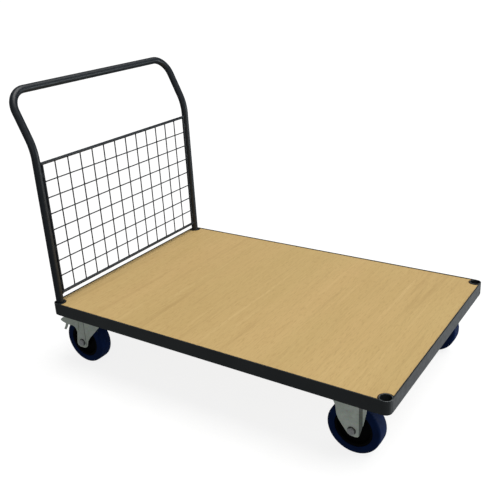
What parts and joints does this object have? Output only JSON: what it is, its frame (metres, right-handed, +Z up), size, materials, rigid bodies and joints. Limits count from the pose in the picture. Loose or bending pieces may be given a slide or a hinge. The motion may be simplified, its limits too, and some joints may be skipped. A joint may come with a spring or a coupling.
{
  "type": "platform trolley",
  "caption": "Platform trolley with a laminate deck in a steel frame, a lift-out tubular push end with wire mesh, braked swivel castors and fixed castors.",
  "frame": {"origin": "middle of the trolley's length and width, on the floor that its wheels stand on", "axes": "+X towards the free end, away from the push end; +Y across the deck to the far long side; +Z up"},
  "size_m": [1.2745, 0.79, 0.9445],
  "materials": {
    "powder_coat": "satin",
    "deck_laminate": "satin",
    "zinc_plate": "satin",
    "blue_tyre": "matte",
    "wheel_nylon": "matte",
    "black_plastic": "matte",
    "brake_rubber": "matte"
  },
  "bodies": {
    "frame": {"side_rail_near": "powder_coat", "corner_socket_push_near": "powder_coat", "corner_socket_free_near": "powder_coat", "foot_cup_near": "black_plastic", "side_rail_far": "powder_coat", "corner_socket_push_far": "powder_coat", "corner_socket_free_far": "powder_coat", "foot_cup_far": "black_plastic", "end_rail_push": "powder_coat", "end_rail_free": "powder_coat", "castor_channel_push": "powder_coat", "castor_channel_free": "powder_coat", "deck_bearer_push": "powder_coat", "deck_bearer_free": "powder_coat", "deck_board": "deck_laminate", "swivel_near_plate": "zinc_plate", "swivel_near_king_bolt": "zinc_plate", "swivel_near_king_nut": "zinc_plate", "fixed_near_bracket": "zinc_plate", "fixed_near_axle_bolt": "zinc_plate", "fixed_near_axle_nut": "zinc_plate", "fixed_near_axle_sleeve": "zinc_plate", "swivel_far_plate": "zinc_plate", "swivel_far_king_bolt": "zinc_plate", "swivel_far_king_nut": "zinc_plate", "fixed_far_bracket": "zinc_plate", "fixed_far_axle_bolt": "zinc_plate", "fixed_far_axle_nut": "zinc_plate", "fixed_far_axle_sleeve": "zinc_plate"},
    "push_end": {"push_tube": "powder_coat", "mesh_top_rail": "powder_coat", "mesh_bottom_rail": "powder_coat", "mesh_side_rod_near": "powder_coat", "mesh_side_rod_far": "powder_coat", "mesh_grid": "powder_coat"},
    "swivel_near": {"swivel_near_fork": "zinc_plate", "swivel_near_ball_ring": "zinc_plate", "swivel_near_axle_bolt": "zinc_plate", "swivel_near_axle_nut": "zinc_plate", "swivel_near_axle_sleeve": "zinc_plate", "swivel_near_brake_pin": "zinc_plate"},
    "swivel_near_brake": {"swivel_near_brake_pedal": "zinc_plate", "swivel_near_brake_shoe": "brake_rubber"},
    "swivel_near_wheel": {"swivel_near_tyre": "blue_tyre", "swivel_near_wheel_centre": "wheel_nylon"},
    "fixed_near_wheel": {"fixed_near_tyre": "blue_tyre", "fixed_near_wheel_centre": "wheel_nylon"},
    "swivel_far": {"swivel_far_fork": "zinc_plate", "swivel_far_ball_ring": "zinc_plate", "swivel_far_axle_bolt": "zinc_plate", "swivel_far_axle_nut": "zinc_plate", "swivel_far_axle_sleeve": "zinc_plate", "swivel_far_brake_pin": "zinc_plate"},
    "swivel_far_brake": {"swivel_far_brake_pedal": "zinc_plate", "swivel_far_brake_shoe": "brake_rubber"},
    "swivel_far_wheel": {"swivel_far_tyre": "blue_tyre", "swivel_far_wheel_centre": "wheel_nylon"},
    "fixed_far_wheel": {"fixed_far_tyre": "blue_tyre", "fixed_far_wheel_centre": "wheel_nylon"}
  },
  "joints": [
    {"name": "push_end_lift", "type": "slide", "parent": "frame", "child": "push_end", "axis": [0, 0, 1], "range_m": [0, 0.06]},
    {"name": "swivel_near_turn", "type": "hinge", "parent": "frame", "child": "swivel_near", "pos_m": [-0.45521, -0.31, 0.18], "axis": [0, 0, 1], "continuous": true},
    {"name": "swivel_near_spin", "type": "hinge", "parent": "swivel_near", "child": "swivel_near_wheel", "pos_m": [-0.50321, -0.31, 0.08], "axis": [0, 1, 0], "continuous": true},
    {"name": "swivel_near_brake_press", "type": "hinge", "parent": "swivel_near", "child": "swivel_near_brake", "pos_m": [-0.51721, -0.31, 0.168], "axis": [0, -1, 0], "range_deg": [0, 5.5]},
    {"name": "fixed_near_spin", "type": "hinge", "parent": "frame", "child": "fixed_near_wheel", "pos_m": [0.51029, -0.31, 0.08], "axis": [0, 1, 0], "continuous": true},
    {"name": "swivel_far_turn", "type": "hinge", "parent": "frame", "child": "swivel_far", "pos_m": [-0.45521, 0.31, 0.18], "axis": [0, 0, 1], "continuous": true},
    {"name": "swivel_far_spin", "type": "hinge", "parent": "swivel_far", "child": "swivel_far_wheel", "pos_m": [-0.50321, 0.31, 0.08], "axis": [0, 1, 0], "continuous": true},
    {"name": "swivel_far_brake_press", "type": "hinge", "parent": "swivel_far", "child": "swivel_far_brake", "pos_m": [-0.51721, 0.31, 0.168], "axis": [0, -1, 0], "range_deg": [0, 5.5]},
    {"name": "fixed_far_spin", "type": "hinge", "parent": "frame", "child": "fixed_far_wheel", "pos_m": [0.51029, 0.31, 0.08], "axis": [0, 1, 0], "continuous": true}
  ]
}
